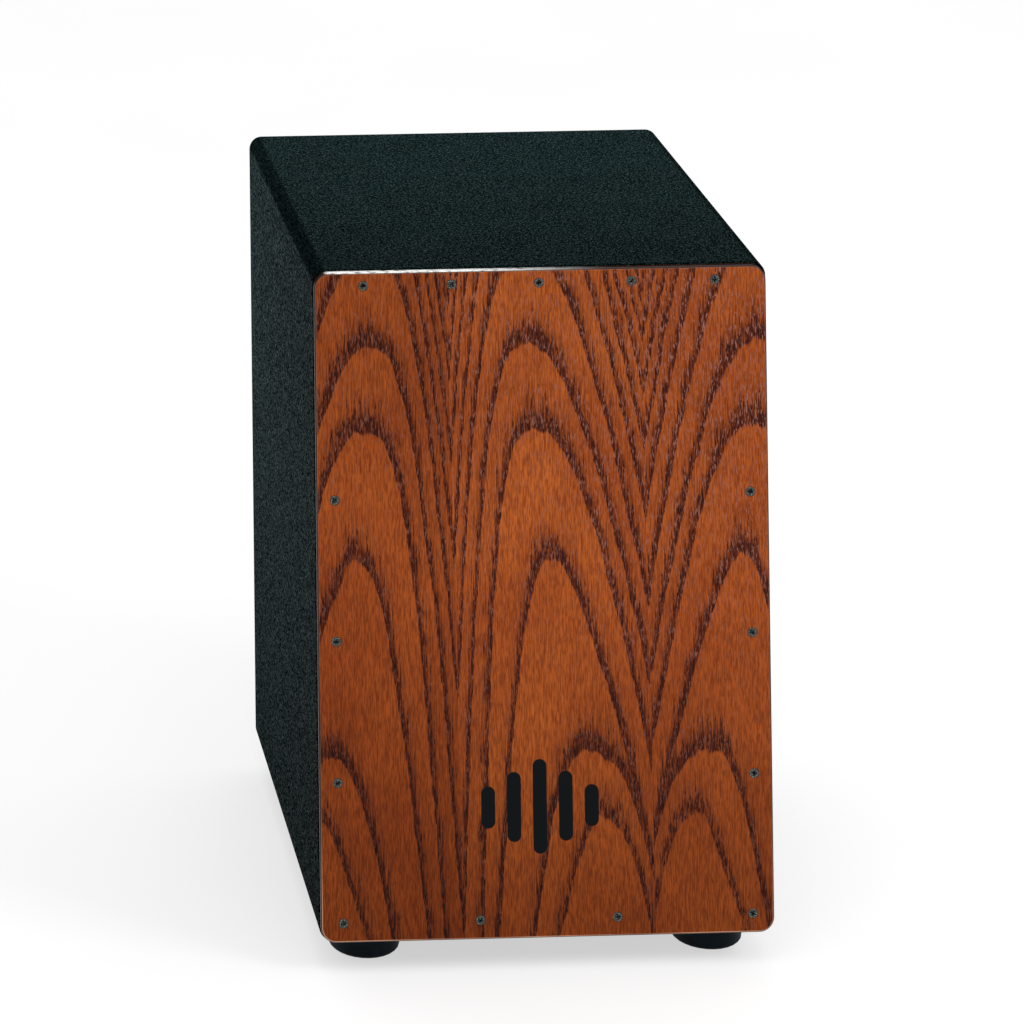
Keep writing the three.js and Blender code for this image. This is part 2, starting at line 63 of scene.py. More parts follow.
class Signal:
    """A value in a node tree. Arithmetic on it adds Math nodes."""

    def __init__(self, tree, socket):
        self.tree = tree
        self.socket = socket

    def math(self, operation, *others):
        node = self.tree.nodes.new("ShaderNodeMath")
        node.operation = operation
        for slot, value in zip(node.inputs, (self, *others)):
            feed(self.tree, value, slot)
        return Signal(self.tree, node.outputs[0])

    def __add__(self, other):
        return self.math("ADD", other)

    def __sub__(self, other):
        return self.math("SUBTRACT", other)

    def __rsub__(self, other):
        return (self * -1) + other

    def __mul__(self, other):
        return self.math("MULTIPLY", other)

    def __truediv__(self, other):
        return self.math("DIVIDE", other)

    def __pow__(self, other):
        return self.math("POWER", other)

    def at_least(self, other):
        return self.math("MAXIMUM", other)

    def at_most(self, other):
        return self.math("MINIMUM", other)

    def size(self):
        return self.math("ABSOLUTE")

    def above(self, other):
        return self.math("GREATER_THAN", other)

    def step(self, low, high, start=0.0, end=1.0):
        """A smooth step from start, at low, to end, at high."""
        node = self.tree.nodes.new("ShaderNodeMapRange")
        node.interpolation_type = "SMOOTHSTEP"
        for slot, value in zip(node.inputs, (self, low, high, start, end)):
            feed(self.tree, value, slot)
        return Signal(self.tree, node.outputs[0])

    __radd__ = __add__
    __rmul__ = __mul__


def feed(tree, value, slot):
    """Puts a number, a colour or a signal into a node's input."""
    if isinstance(value, Signal):
        tree.links.new(value.socket, slot)
    else:
        slot.default_value = value


class Material:
    """A node material that is built up from a Principled shader."""

    def __init__(self, name):
        self.material = bpy.data.materials.new(name)
        self.material.use_nodes = True
        self.tree = self.material.node_tree
        self.shader = self.tree.nodes["Principled BSDF"]

    def node(self, kind, **inputs):
        made = self.tree.nodes.new(kind)
        for slot, value in inputs.items():
            feed(self.tree, value, made.inputs[slot.replace("_", " ")])
        return Signal(self.tree, made.outputs[0])

    def set(self, **inputs):
        for slot, value in inputs.items():
            feed(self.tree, value, self.shader.inputs[slot.replace("_", " ")])

    def place(self):
        """The point being shaded, in millimetres, as three signals."""
        where = self.tree.nodes.new("ShaderNodeTexCoord").outputs["Object"]
        split = self.tree.nodes.new("ShaderNodeSeparateXYZ")
        self.tree.links.new(where, split.inputs[0])
        return [Signal(self.tree, split.outputs[i]) / MM for i in range(3)]

    def point(self, x, y, z):
        return self.node("ShaderNodeCombineXYZ", X=x, Y=y, Z=z)

    def noise(self, x, y, z, detail=2.0, roughness=0.5):
        """Smooth noise, about 0.5 on average, with one feature to each unit of x, y and z."""
        return self.node("ShaderNodeTexNoise", Vector=self.point(x, y, z), Scale=1.0,
                         Detail=detail, Roughness=roughness)

    def grains(self, place, size, detail=2.0, roughness=0.5):
        """Noise with features of about one size, in millimetres, in every direction."""
        return self.noise(*(axis / size for axis in place), detail=detail, roughness=roughness)

    def mix(self, share, first, second, blend="MIX"):
        made = self.tree.nodes.new("ShaderNodeMix")
        made.data_type = "RGBA"
        made.blend_type = blend
        # the node keeps its sockets for plain numbers and vectors before those for colours
        for i, value in ((0, share), (6, first), (7, second)):
            feed(self.tree, value, made.inputs[i])
        return Signal(self.tree, made.outputs[2])

    def tint(self, colour, factor):
        """The colour made brighter or darker by a factor."""
        made = self.tree.nodes.new("ShaderNodeVectorMath")
        made.operation = "SCALE"
        feed(self.tree, colour, made.inputs[0])
        feed(self.tree, factor, made.inputs["Scale"])
        return Signal(self.tree, made.outputs[0])

    def bump(self, height, depth_mm, strength):
        self.set(Normal=self.node("ShaderNodeBump", Height=height, Strength=strength,
                                  Distance=depth_mm * MM))


# ---- Stained ash veneer --------------------------------------------------------------------

# Lengths here are in millimetres, across from the middle of the plate and up from the bottom
# of the box.
PLATE_CORNER = 10.0
PLATE_THICKNESS = (PLATE_HIGH.y - PLATE_LOW.y) / MM
EDGE_BAND = 1.0  # width of the rounded edge, as seen from the front
EDGE_BLUR = 0.15

# The plate is faced with three leaves of one flitch, opened like a book, so each leaf mirrors
# its neighbour at the seam. The seams lean a little.
LEFT_SEAM = -55.3
LEFT_SEAM_LEAN = -0.0154
RIGHT_SEAM = 70.8
RIGHT_SEAM_LEAN = -0.0115
GRAIN_SHIFT = -0.5  # how far the middle leaf's figure lies to the right
RIGHT_LEAF_SLIP = 5.0  # how far the right leaf's figure slips to the left, low down

# The growth rings as they cross one leaf, from the outermost in. Each is an arch: the place
# and height of its tip, how far it reaches to the left and to the right 50 mm below the tip,
# how steeply each limb falls (2 is a parabola, more is squarer), and how dark it is.
# Millimetres, from the middle of the plate and from the bottom of the box.
RINGS = [
    (0, 640, 45, 28.0, 3.7, 1.6, 0.7),
    (0, 612, 44, 28.0, 3.7, 1.6, 0.8),
    (0, 584, 43, 28.0, 3.7, 1.6, 0.85),
    (0, 553, 42, 27.8, 3.7, 1.6, 0.9),
    (0, 522, 40, 27.6, 3.7, 1.6, 0.9),
    (-1, 487, 37, 27.6, 3.7, 1.6, 0.95),
    (-3, 443, 33, 27.6, 3.6, 1.6, 1.0),
    (-5, 384, 27.5, 30.0, 3.5, 1.65, 1.0),
    (3, 328, 29.5, 26.4, 4.5, 1.6, 1.0),
    (6, 246, 18.5, 24.8, 2.3, 1.5, 1.0),
    (28, 119, 24.6, 34.5, 2.3, 2.4, 1.0),
    (35, 78, 19.3, 28.0, 1.33, 2.3, 0.8),
]
REACH_DROP = 50  # how far below a ring's tip its reaches are measured
TIP_THICKNESS = 15.0
LIMB_THICKNESS = 3.1
OUTER_THINNING = 0.006  # the outer rings' limbs get thinner, per millimetre of tip height
THICK_BELOW = 330.0

STAIN_LIGHT = (182, 93, 36)
STAIN_DARK = (162, 78, 28)
STAIN_FIBRE = (110, 40, 14)
EARLY_WOOD = (80, 29, 18)
PORE = (30, 8, 8)
# painted highlight: the colour of glints in the pores
PORE_GLINT = (160, 108, 98)
FOOT_SHADE_FILTER = (0.53, 0.475, 0.385, 1.0)  # painted shade: darkens the plate towards its foot
LEFT_LEAF_SHADE_FILTER = (0.69, 0.61, 0.52, 1.0)  # painted shade on the left leaf
SEALER_LIGHT = (44, 18, 12)
SEALER_DARK = (16, 6, 5)
# painted highlight: a light line along the edge where it meets the face
EDGE_HIGHLIGHT = (214, 158, 126)
EDGE_HIGHLIGHT_LOW = 0.75  # how strongly the painted highlight line shows at the foot of the plate
EDGE_HIGHLIGHT_HIGH = 0.15  # and from EDGE_HIGHLIGHT_TOP up
EDGE_HIGHLIGHT_TOP = 90
TOP_EDGE_HIGHLIGHT = (226, 226, 224)
TOP_HIGHLIGHT_FROM = -144  # where along the top edge the painted white highlight starts, begins to fade, and ends
TOP_HIGHLIGHT_FADES = -70
TOP_HIGHLIGHT_ENDS = 50
BACK_LIGHT = (196, 158, 112)
BACK_DARK = (150, 112, 72)

# A plain printed emblem: five upright rounded bars, tallest in the middle.
EMBLEM_CENTRE = (-4.5, 85.0)
EMBLEM_PITCH = 17.0
EMBLEM_BAR = 4.6  # half the width of a bar
EMBLEM_REACH = (9.0, 18.0, 26.0, 18.0, 9.0)  # half the height of each bar, without its ends
EMBLEM_BLUR = 0.15
INK = (6, 11, 14)


def fold_leaves(x, height):
    """A point's place on the middle leaf once the outer leaves are folded back on to it, and
    whether the point is on the left leaf."""
    right = (x - (height * RIGHT_SEAM_LEAN + RIGHT_SEAM)).at_least(0)
    left = ((height * LEFT_SEAM_LEAN + LEFT_SEAM) - x).at_least(0)
    leaf = x - right * 2 + left * 2 - GRAIN_SHIFT
    leaf = leaf - right.above(0) * height.step(60, 220, RIGHT_LEAF_SLIP, 0.0)
    return leaf, left.step(-0.1, 0.1)


def along_grain(wood, x, height, width, length, place, detail, roughness=0.5):
    """Noise drawn out along the grain. Its features are about width across and length up, and
    place, a depth in the noise, makes one call's pattern unlike another's."""
    return wood.noise(x / width, place, height / length, detail=detail, roughness=roughness)


def wood_fibres(wood, x, height):
    """Hairs as fine as can be seen, other hairs beside them, strands, and broad streaks."""
    hair = along_grain(wood, x, height, 0.7, 6, 5.5, detail=1, roughness=0.6).step(0.36, 0.64)
    twin = along_grain(wood, x, height, 0.75, 9, 9.1, detail=1, roughness=0.6).step(0.36, 0.64)
    strand = along_grain(wood, x, height, 1.1, 26, 0.0, detail=1, roughness=0.6).step(0.3, 0.7)
    streak = along_grain(wood, x, height, 1.5, 40, 2.9, detail=2, roughness=0.65)
    return hair, twin, strand, streak


def ring_share(across, height, ring):
    """How far a point lies through one ring's dark band: 0 at its sharp inner edge, 1 outside."""
    centre, tip, left, right, left_power, right_power, _ = ring
    offset = across - centre
    on_right = offset.above(0)
    reach = on_right * (right - left) + left
    power = on_right * (right_power - left_power) + left_power
    distance = offset.size()
    drop = (distance / reach) ** power * REACH_DROP
    slope = power * drop / (distance + 1)
    limb = slope * (LIMB_THICKNESS - max(0, tip - THICK_BELOW) * OUTER_THINNING)
    thickness = (limb * limb + TIP_THICKNESS ** 2) ** 0.5
    return (height - tip + drop) / thickness


def ash_rings(across, height, feather):
    """How dense the dark early wood is, from 0 to 1. A high feather thins a band's outside."""
    dense = None
    for ring in RINGS:
        share = ring_share(across, height, ring)
        inner = share.step(-0.12, 0.1)
        outer = (share * feather).step(0.35, 1.9, 1.0, 0.0)
        band = inner * outer * ring[-1]
        dense = band if dense is None else dense.at_least(band)
    return dense


def early_wood(wood, x, height, leaf, fibres):
    """The rings, wandering a little and feathered along the fibres."""
    hair, _, strand, _ = fibres
    # neighbouring leaves are cut a moment apart, so these small wanderings don't mirror
    wander = along_grain(wood, x, height, 20, 60, 3.1, detail=2) - 0.5
    wobble = along_grain(wood, x, height, 3.5, 9, 7.7, detail=1) - 0.5
    lift = (along_grain(wood, x, height, 8, 60, 11.3, detail=1) - 0.5) * 10
    across = leaf + wander * 3 + wobble * 1.6
    feather = (strand * 1.6 + hair * 0.9 - 0.25).at_least(0.55)
    return ash_rings(across, height + lift, feather)


def stained_face(wood, x, height, cloud, fibres):
    """The colour of the plate's face: stain, fibres, rings and pores, with painted glints and sheen
    on the pores and painted shade low down and on the left leaf.
    """
    hair, twin, strand, streak = fibres
    leaf, on_left = fold_leaves(x, height)
    dense = early_wood(wood, x, height, leaf, fibres)

    stain = wood.mix(cloud.step(0.3, 0.7), linear(*STAIN_DARK), linear(*STAIN_LIGHT))
    stain = wood.tint(stain, streak * 0.6 + (1.0 - hair) * 0.3 + 0.58)
    loose = (twin * 0.7 + hair * 0.3).step(0.24, 0.9)
    stain = wood.mix(loose * 0.5, stain, linear(*STAIN_FIBRE))

    stain = wood.mix(dense * 0.5, stain, linear(*EARLY_WOOD))
    pores = (hair * 0.4 + strand * 0.2 + dense * 0.54).step(0.5, 0.83)
    stain = wood.mix(pores * 0.95, stain, wood.mix(twin, linear(*PORE), linear(*EARLY_WOOD)))

    # painted highlights: glints in the pores, and a sheen that grows towards the top right
    painted_glint = along_grain(wood, x, height, 0.85, 4, 4.3, detail=1).step(0.54, 0.7)
    painted_sheen = height.step(60, 420, 0.06, 0.42) * x.step(-40, 130, 0.85, 1.6)
    stain = wood.mix(painted_glint * (dense * 0.3 + painted_sheen), stain, linear(*PORE_GLINT))

    # painted shade: the plate grows darker towards its foot
    stain = wood.mix(height.step(-60, 260, 1.0, 0.0), stain, FOOT_SHADE_FILTER, "MULTIPLY")
    # painted shade: the mirrored leaf on the left takes the light the other way, so it is painted
    # deeper, and deeper still towards its top
    stain = wood.mix(on_left, stain, LEFT_LEAF_SHADE_FILTER, "MULTIPLY")
    return wood.tint(stain, 1.0 - on_left * height.step(250, 420, 0.0, 0.13))


def print_emblem(wood, x, height, colour):
    ink = None
    for i, reach in enumerate(EMBLEM_REACH):
        across = x - (EMBLEM_CENTRE[0] + (i - len(EMBLEM_REACH) // 2) * EMBLEM_PITCH)
        up = ((height - EMBLEM_CENTRE[1]).size() - reach).at_least(0)
        distance = (across * across + up * up) ** 0.5
        bar = distance.step(EMBLEM_BAR - EMBLEM_BLUR, EMBLEM_BAR + EMBLEM_BLUR, 1.0, 0.0)
        ink = bar if ink is None else ink.at_least(bar)
    return wood.mix(ink, colour, linear(*INK))


def plate_margin(x, z):
    """How far outside the plate's outline a point is: minus inside, in millimetres."""
    half_width = (PLATE_HIGH.x - PLATE_LOW.x) / 2 / MM - PLATE_CORNER
    half_height = (PLATE_HIGH.z - PLATE_LOW.z) / 2 / MM - PLATE_CORNER
    middle = (PLATE_HIGH.z + PLATE_LOW.z) / 2 / MM
    across = x.size() - half_width
    up = (z - middle).size() - half_height
    out_x = across.at_least(0)
    out_z = up.at_least(0)
    outside = (out_x * out_x + out_z * out_z) ** 0.5
    return outside + across.at_least(up).at_most(0) - PLATE_CORNER


def seal_edge(wood, place, height, cloud, streak, colour):
    """Seals the rounded edge nearly black, paints a light highlight line where it meets the face,
    and paints a white highlight on the left of the top edge. Also gives whether a point is on the
    edge."""
    x, y, z = place
    margin = plate_margin(x, z)
    rim = margin.step(-EDGE_BAND - EDGE_BLUR, -EDGE_BAND + EDGE_BLUR)
    # painted highlight: a light line where the edge meets the face, strongest low down
    painted_line = (margin + EDGE_BAND).size().step(0.1, 0.45, 1.0, 0.0)
    painted_line = painted_line * cloud.step(0.3, 0.6, 0.4, 1.0)
    painted_line = painted_line * height.step(0, EDGE_HIGHLIGHT_TOP, EDGE_HIGHLIGHT_LOW, EDGE_HIGHLIGHT_HIGH)
    # painted highlight: the left of the top edge painted white where the light catches it
    painted_white = wood.noise(x / 5, 2.2, y / 2, detail=2).step(0.2, 0.55)
    painted_white = painted_white * (z - PLATE_HIGH.z / MM).step(-0.8, -0.3)
    painted_white = painted_white * x.step(TOP_HIGHLIGHT_FROM, TOP_HIGHLIGHT_FROM + 6) * x.step(TOP_HIGHLIGHT_FADES, TOP_HIGHLIGHT_ENDS, 1.0, 0.0)
    sealer = wood.mix(streak, linear(*SEALER_DARK), linear(*SEALER_LIGHT))
    colour = wood.mix(rim, colour, sealer)
    colour = wood.mix(painted_line, colour, linear(*EDGE_HIGHLIGHT))
    return wood.mix(painted_white, colour, linear(*TOP_EDGE_HIGHLIGHT)), rim


def ash_veneer():
    wood = Material("stained_ash_veneer")
    x, y, z = wood.place()
    height = z - BASE_LOW.z / MM
    fibres = wood_fibres(wood, x, height)
    hair, _, _, streak = fibres
    cloud = along_grain(wood, x, height, 55, 100, 1.7, detail=2)

    colour = stained_face(wood, x, height, cloud, fibres)
    colour = print_emblem(wood, x, height, colour)
    colour, rim = seal_edge(wood, (x, y, z), height, cloud, streak, colour)

    # behind, the bare back of the plywood
    depth = y - PLATE_LOW.y / MM
    back = depth.step(PLATE_THICKNESS - 0.1, PLATE_THICKNESS - 0.02)
    colour = wood.mix(back, colour, wood.mix(streak, linear(*BACK_DARK), linear(*BACK_LIGHT)))

    wood.set(
        Base_Color=colour,
        Roughness=streak * 0.12 + 0.27 + rim * -0.1,
        Coat_Weight=rim * 0.15 + 0.05,
        Coat_Roughness=0.12,
        Specular_IOR_Level=rim * 0.1 + 0.04,
    )
    wood.bump(streak * 0.4 - hair, 0.06, 0.4)
    return wood.material


# ---- Textured black coat -------------------------------------------------------------------

EDGE_RADIUS = 9.0  # of the box's long edges
GRIT_SIZE = 1.2
LUMP_SIZE = 2.6
CLOUD_SIZE = 45
DUST_SIZE = 0.9
COAT_LIGHT = (5, 18, 19)
COAT_DARK = (2, 12, 13)
# painted highlights: the colour of glints on the coat's grit, brighter on the sides
TOP_GLINTS = (42, 62, 63)
SIDE_GLINTS = (47, 81, 83)
BOARD_LIGHT = (150, 118, 84)
BOARD_DARK = (122, 92, 62)


def inside_box(x, y, z):
    """Whether a point is on a face inside the box."""
    inner_x = -SIDE_HIGH.x / MM
    inside = x.size().step(inner_x - 0.1, inner_x + 0.1, 1.0, 0.0)
    inside = inside * z.above(BASE_HIGH.z / MM - 0.1) * (1.0 - z.above(SEAT_LOW.z / MM + 0.1))
    return inside * (1.0 - y.above(BACK_LOW.y / MM + 0.1))


def black_coat():
    """A matt black coat with a fine sprayed texture; bare fibreboard inside the box."""
    coat = Material("textured_black_coat")
    place = coat.place()
    x, y, z = place
    grit = coat.grains(place, GRIT_SIZE, detail=1, roughness=0.6)
    lump = coat.grains(place, LUMP_SIZE, detail=1)
    cloud = coat.grains(place, CLOUD_SIZE, detail=2)
    dust = coat.grains(place, DUST_SIZE, detail=3)

    out_x = x.size() - (BASE_HIGH.x / MM - EDGE_RADIUS)
    middle = (SEAT_HIGH.z + BASE_LOW.z) / 2 / MM
    out_z = (z - middle).size() - ((SEAT_HIGH.z - BASE_LOW.z) / 2 / MM - EDGE_RADIUS)
    on_side = out_x.above(EDGE_RADIUS - 0.5)

    # painted highlights: specks of light on the grit's bumps
    glint_speck = (grit * 0.8 + lump * 0.2).step(0.46, 0.74)
    black = coat.mix(cloud.step(0.3, 0.7), linear(*COAT_DARK), linear(*COAT_LIGHT))
    grains = coat.mix(on_side, linear(*TOP_GLINTS), linear(*SIDE_GLINTS))
    black = coat.mix(glint_speck, black, grains)

    # painted shade: it is darker over the rounded long edges, towards the plate, and low on the
    # sides
    edge = out_x.step(0.0, 2.5) * out_z.step(0.0, 2.5)
    low_side_shade = on_side * (z - BASE_LOW.z / MM).step(-40, 330, 0.55, 0.0)
    near_plate_shade = y.step(-190, 150, 0.58, 1.05)
    black = coat.tint(black, (1.0 - edge * 0.5) * (1.0 - low_side_shade) * near_plate_shade)

    inside = inside_box(x, y, z)
    board = coat.mix(dust.step(0.3, 0.7), linear(*BOARD_DARK), linear(*BOARD_LIGHT))
    coat.set(
        Base_Color=coat.mix(inside, black, board),
        Roughness=inside * 0.25 + 0.62 + lump * 0.1,
        Specular_IOR_Level=glint_speck * 0.1 * (1.0 - edge * 0.8) * (1.0 - low_side_shade),
    )
    coat.bump(grit * 0.6 + lump * 0.4, 0.25, 0.6)
    return coat.material


# ---- Other materials -----------------------------------------------------------------------


def bare_wood():
    """Unfinished beech with short flecks, grain along X."""
    wood = Material("bare_beech")
    x, y, z = wood.place()
    grain = wood.noise(x / 60, y / 2.2, z / 2.2, detail=4)
    fleck = wood.noise(x / 5, y / 0.5, z / 0.5, detail=1).step(0.6, 0.72)
    colour = wood.mix(grain.step(0.3, 0.7), linear(176, 132, 84), linear(208, 168, 116))
    wood.set(Base_Color=wood.mix(fleck * 0.5, colour, linear(138, 92, 54)), Roughness=0.62)
    wood.bump(grain + fleck * -0.3, 0.08, 0.5)
    return wood.material


def rubber():
    """Matt rubber with a faint bloom, scuffed at the sole."""
    black = Material("black_rubber")
    place = black.place()
    x, y, z = place
    bloom = black.noise(x / 9, y / 9, z / 6, detail=4)
    grain = black.grains(place, 0.4, detail=2)
    colour = black.mix(bloom.step(0.35, 0.75), linear(1, 10, 16), linear(4, 22, 32))
    scuff = z.step(0.0, 2.0, 1.0, 0.0) * grain.step(0.4, 0.7)
    black.set(Base_Color=black.mix(scuff * 0.3, colour, linear(60, 60, 58)),
              Roughness=bloom * 0.2 + 0.42, Specular_IOR_Level=0.08)
    black.bump(grain, 0.06, 0.4)
    return black.material


EDGE_WEAR = (150, 150, 145)
SPARKLE_HIGHLIGHT = (176, 190, 180)


def metal(name, dark, light, roughness, wear, sparkle=0.0):
    """Plated metal: cloudy plating, fine scratches, brighter where edges have rubbed, and
    painted highlights: bright grains where it sparkles."""
    plate = Material(name)
    place = plate.place()
    x, y, z = place
    cloud = plate.grains(place, 2.5, detail=4)
    scratch = plate.noise(x / 0.12, y / 1.5, z / 1.5, detail=2)
    colour = plate.mix(cloud.step(0.3, 0.7), linear(*dark), linear(*light))
    geometry = plate.tree.nodes.new("ShaderNodeNewGeometry")
    pointy = Signal(plate.tree, geometry.outputs["Pointiness"]).step(0.5, 0.6)
    colour = plate.mix(pointy * wear, colour, linear(*EDGE_WEAR))
    # painted highlights: bright grains of glint on the plating
    painted_glint = plate.grains(place, 0.7, detail=1).step(0.58, 0.68)
    colour = plate.mix(painted_glint * sparkle, colour, linear(*SPARKLE_HIGHLIGHT))
    plate.set(Base_Color=colour, Metallic=painted_glint * sparkle + 0.9 - sparkle,
              Roughness=cloud * 0.2 + roughness, Specular_IOR_Level=0.5 - sparkle * 0.5)
    plate.bump(scratch, 0.02, 0.4)
    return plate.material


# ---- Shapes --------------------------------------------------------------------------------

SHARP_ANGLE = math.radians(32)  # edges that bend more than this are shaded sharp
BEVEL_ANGLE = math.radians(40)  # and those that bend more than this are softened


def shade_by_angle():
    """A modifier's node group that shades faces smooth except across sharp edges."""
    group = bpy.data.node_groups.new("shade_by_angle", "GeometryNodeTree")
    group.interface.new_socket("Geometry", in_out="INPUT", socket_type="NodeSocketGeometry")
    group.interface.new_socket("Geometry", in_out="OUTPUT", socket_type="NodeSocketGeometry")
    start = group.nodes.new("NodeGroupInput")
    end = group.nodes.new("NodeGroupOutput")
    smooth = group.nodes.new("GeometryNodeSetShadeSmooth")
    crease = group.nodes.new("GeometryNodeSetShadeSmooth")
    crease.domain = "EDGE"
    crease.inputs["Shade Smooth"].default_value = False
    angle = group.nodes.new("GeometryNodeInputMeshEdgeAngle")
    compare = group.nodes.new("FunctionNodeCompare")
    compare.operation = "GREATER_THAN"
    compare.inputs[1].default_value = SHARP_ANGLE
    group.links.new(start.outputs[0], smooth.inputs["Geometry"])
    group.links.new(smooth.outputs[0], crease.inputs["Geometry"])
    group.links.new(angle.outputs["Unsigned Angle"], compare.inputs[0])
    group.links.new(compare.outputs[0], crease.inputs["Selection"])
    group.links.new(crease.outputs[0], end.inputs[0])
    return group


SHADE_BY_ANGLE = shade_by_angle()


def smooth(piece, bevel_mm=0.0):
    """Joins split corners, softens hard edges by an optional bevel and shades by angle."""
    weld = piece.modifiers.new("weld", "WELD")
    weld.merge_threshold = 0.01 * MM
    if bevel_mm:
        bevel = piece.modifiers.new("bevel", "BEVEL")
        bevel.width = bevel_mm * MM
        bevel.segments = 2
        bevel.limit_method = "ANGLE"
        bevel.angle_limit = BEVEL_ANGLE
    shade = piece.modifiers.new("shade", "NODES")
    shade.node_group = SHADE_BY_ANGLE
    flat = piece.modifiers.new("flat_faces", "WEIGHTED_NORMAL")
    flat.keep_sharp = True


def dress(names, material, bevel_mm=0.0):
    """Gives CAD nodes their material and their smoothing."""
    for name in names:
        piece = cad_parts[name]
        piece.data.materials.clear()
        piece.data.materials.append(material)
        smooth(piece, bevel_mm)


def make_piece(name, mesh, material):
    piece = bpy.data.objects.new(name, mesh)
    bpy.context.scene.collection.objects.link(piece)
    mesh.materials.append(material)
    return piece


def turned_mesh(name, profile, segments):
    """A closed mesh from (radius, height) points turned about Z. It starts and ends on the axis."""
    shape = bmesh.new()
    rings = []
    for radius, height in profile:
        if radius == 0:
            rings.append([shape.verts.new((0, 0, height))])
            continue
        turn = [2 * math.pi * i / segments for i in range(segments)]
        rings.append([shape.verts.new((radius * math.cos(a), radius * math.sin(a), height))
                      for a in turn])
    for low, high in zip(rings, rings[1:]):
        for i in range(segments):
            corners = []
            for ring, j in ((low, i), (low, i + 1), (high, i + 1), (high, i)):
                corner = ring[j % len(ring)]
                if corner not in corners:
                    corners.append(corner)
            shape.faces.new(corners)
    bmesh.ops.recalc_face_normals(shape, faces=shape.faces)
    mesh = bpy.data.meshes.new(name)
    shape.to_mesh(mesh)
    shape.free()
    return mesh


# ---- Strings -------------------------------------------------------------------------------

WIRE_RADIUS = 0.45 * MM
CRIMP_RADIUS = 1.1 * MM
CRIMP_LENGTH = 4.0 * MM
CRIMP_ROUNDING = 0.2 * MM
WIRE_ROWS = 24
WIRE_SEGMENTS = 16


def string_between(name, low, high, material):
    """A steel string with a crimped sleeve at each end, from its block at the bottom to the case at
    the top.
    """
    length = (high - low).length
    crimp = [
        (0, 0),
        (CRIMP_RADIUS - CRIMP_ROUNDING, 0),
        (CRIMP_RADIUS, CRIMP_ROUNDING),
        (CRIMP_RADIUS, CRIMP_LENGTH - CRIMP_ROUNDING),
        (CRIMP_RADIUS - CRIMP_ROUNDING, CRIMP_LENGTH),
        (WIRE_RADIUS, CRIMP_LENGTH),
    ]
    row = (length - 2 * CRIMP_LENGTH) / WIRE_ROWS
    middle = [(WIRE_RADIUS, CRIMP_LENGTH + row * i) for i in range(1, WIRE_ROWS)]
    far = [(radius, length - height) for radius, height in reversed(crimp)]
    mesh = turned_mesh(name, crimp + middle + far, WIRE_SEGMENTS)
    turn = (high - low).to_track_quat("Z", "Y").to_matrix().to_4x4()
    mesh.transform(Matrix.Translation(low) @ turn)
    piece = make_piece(name, mesh, material)
    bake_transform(piece)
    smooth(piece)
    return piece


def leans_right(node):
    """True if the node's top lies to the right of its foot."""
    points = [v.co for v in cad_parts[node].data.vertices]
    top = max(points, key=lambda p: p.z)
    foot = min(points, key=lambda p: p.z)
    return top.x > foot.x


def add_string(side, number, material):
    """Replaces one of the CAD model's strings."""
    node = f"{side}_string_{number}"
    low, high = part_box(node)
    ends = (low.x + CRIMP_RADIUS, high.x - CRIMP_RADIUS)
    foot_x, head_x = ends if leans_right(node) else reversed(ends)
    middle_y = (low.y + high.y) / 2
    foot = Vector((foot_x, middle_y, low.z))
    head = Vector((head_x, middle_y, high.z))
    piece = string_between(f"{side}_wire_{number}", foot, head, material)
    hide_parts(node)


# ---- Stage ---------------------------------------------------------------------------------

FLOOR_GLOW = 0.62  # share of the floor's light that no shadow takes away
FLOOR_REACH = 14  # half of its width
ROOM_LIGHT = 0.35  # the white backdrop gives less light than it shows
CEILING_STRENGTH = 2.3
CEILING_SPREAD = math.radians(110)
CEILING_LEAN = math.radians(-6)


def floor_material():
    pale = Material("pale_floor")
    x, y, _ = pale.place()
    cloud = pale.noise(x / 400, y / 400, 0.0, detail=2)
    white = pale.mix(cloud, linear(246, 246, 246), linear(252, 252, 252))
    pale.set(Base_Color=pale.tint(white, 1 - FLOOR_GLOW), Roughness=0.9, Specular_IOR_Level=0.05,
             Emission_Color=white, Emission_Strength=FLOOR_GLOW)
    return pale.material


def add_floor():
    mesh = bpy.data.meshes.new("floor")
    turns = ((-1, -1), (1, -1), (1, 1), (-1, 1))
    corners = [(x * FLOOR_REACH, y * FLOOR_REACH, 0) for x, y in turns]
    mesh.from_pydata(corners, [], [(0, 1, 2, 3)])
    floor = bpy.data.objects.new("floor", mesh)
    bpy.context.scene.collection.objects.link(floor)
    mesh.materials.append(floor_material())


def add_soft_light(name, place, target, width, watts):
    data = bpy.data.lights.new(name, "AREA")
    data.shape = "SQUARE"
    data.size = width
    data.energy = watts
    light = bpy.data.objects.new(name, data)
    light.location = place
    light.rotation_euler = (Vector(target) - Vector(place)).to_track_quat("-Z", "Y").to_euler()
    bpy.context.scene.collection.objects.link(light)


def add_backdrop():
    """A white room that gives less light than it shows."""
    world = bpy.data.worlds.new("studio")
    world.use_nodes = True
    tree = world.node_tree
    background = tree.nodes["Background"]
    background.inputs["Color"].default_value = (1, 1, 1, 1)
    seen = Signal(tree, tree.nodes.new("ShaderNodeLightPath").outputs["Is Camera Ray"])
    feed(tree, seen * (1.0 - ROOM_LIGHT) + ROOM_LIGHT, background.inputs["Strength"])
    bpy.context.scene.world = world


def add_ceiling():
    """One very broad light from above."""
    data = bpy.data.lights.new("ceiling", "SUN")
    data.energy = CEILING_STRENGTH
    data.angle = CEILING_SPREAD
    ceiling = bpy.data.objects.new("ceiling", data)
    ceiling.rotation_euler = (CEILING_LEAN, 0, 0)
    bpy.context.scene.collection.objects.link(ceiling)


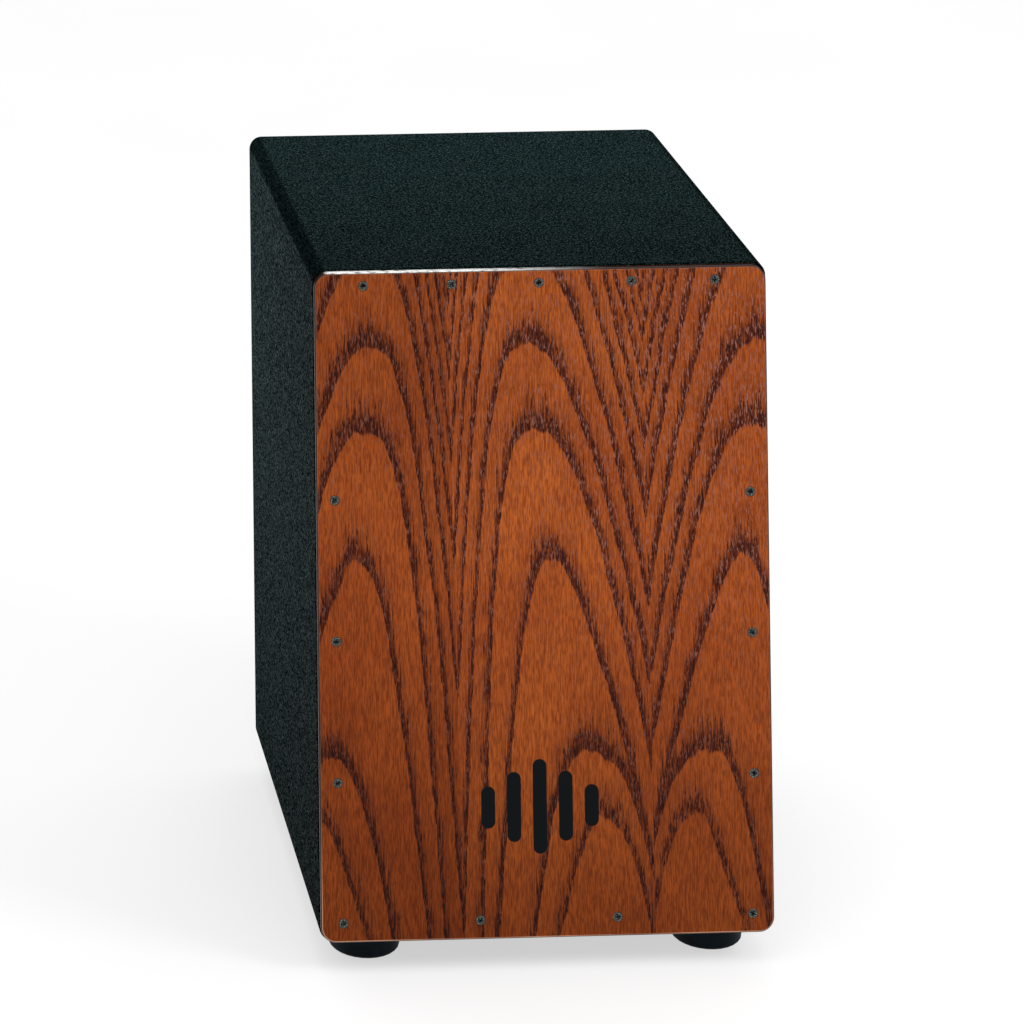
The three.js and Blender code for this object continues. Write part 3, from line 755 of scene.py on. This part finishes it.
# The lens is held nearly parallel to the plate, as a view camera's is, and the picture is taken
# from the part of its image that lies to the right of and below its axis. That is the same as
# looking along the slanting line to the middle of the picture through a sheared camera.
LENS_PLACE = Vector((-0.5452, -2.7780, 1.3149))
LENS_TILT = (-0.0219, -0.0340, -0.0079)  # radians about X, Z and the line of sight
SENSOR_WIDTH = 36  # mm
FOCAL_LENGTH = 140.94  # mm
PICTURE_RIGHT = 0.16965  # to the middle of the picture, per unit of distance
PICTURE_DOWN = 0.40923


def add_camera():
    pitch, yaw, roll = LENS_TILT
    tilt = (Matrix.Rotation(roll, 3, "Z") @ Matrix.Rotation(yaw, 3, "Y")
            @ Matrix.Rotation(pitch, 3, "X"))
    level = Matrix(((1, 0, 0), (0, 0, -1), (0, 1, 0)))
    right, down, forward = (tilt @ level).row
    middle = forward + right * PICTURE_RIGHT + down * PICTURE_DOWN
    shear = Matrix.Identity(4)
    for i, column in enumerate((right, -down, -middle.normalized(), LENS_PLACE)):
        for j in range(3):
            shear[j][i] = column[j]

    data = bpy.data.cameras.new("camera")
    data.sensor_width = SENSOR_WIDTH
    data.lens = FOCAL_LENGTH * middle.length
    data.clip_end = 100
    camera = bpy.data.objects.new("camera", data)
    stand = bpy.data.objects.new("camera_stand", None)
    for thing in (stand, camera):
        bpy.context.scene.collection.objects.link(thing)
    camera.parent = stand
    camera.matrix_parent_inverse = shear
    bpy.context.scene.camera = camera


# ---- The whole picture ---------------------------------------------------------------------

coat = black_coat()
beech = bare_wood()
black_steel = metal("black_zinc", (3, 8, 8), (12, 20, 19), roughness=0.34, wear=0.2, sparkle=0.62)
bright_steel = metal("bright_zinc", (150, 152, 154), (196, 198, 200), roughness=0.22, wear=0.4)
black_oxide = metal("black_oxide", (14, 17, 18), (30, 34, 35), roughness=0.34, wear=0.2)
wire = metal("string_steel", (164, 162, 158), (182, 180, 176), roughness=0.3, wear=0.1)
aluminium = metal("machined_aluminium", (176, 178, 180), (208, 210, 212), roughness=0.3, wear=0.3)

names = sorted(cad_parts)
panels = [n for n in names if n.endswith("_panel")]
plate_screws = [n for n in names if n.startswith("plate_screw")]
blocks = [n for n in names if n.endswith("_tension_block")]
tuners = [n for n in names if n.endswith("_tuning_screw")]
feet = [n for n in names if n.endswith("_foot")]
wooden = [n for n in names if n.endswith("_batten") or n.endswith("_string_bar")]
strings = [n for n in names if "_string_" in n and n[-1].isdigit()]
done = {"front_plate", *panels, *plate_screws, *blocks, *tuners, *feet, *wooden, *strings}
small_steel = [n for n in names if n not in done]

dress(["front_plate"], ash_veneer())
dress(panels, coat)
dress(wooden, beech, bevel_mm=0.4)
dress(feet, rubber())
dress(plate_screws, black_steel)
dress(tuners, black_oxide, bevel_mm=0.2)
dress(blocks, aluminium, bevel_mm=0.5)
dress(small_steel, bright_steel, bevel_mm=0.1)
for side in ("left", "right"):
    for number in (1, 2):
        add_string(side, number, wire)

add_floor()
add_backdrop()
add_ceiling()
add_soft_light("key", place=(1.3, -0.95, 1.3), target=(0, -0.15, 0.25), width=0.6, watts=14)
add_soft_light("edge", place=(-0.15, -0.62, 1.5), target=(0, -0.15, 0.45), width=0.45, watts=2.5)
add_camera()
bpy.context.scene.view_settings.view_transform = "Standard"
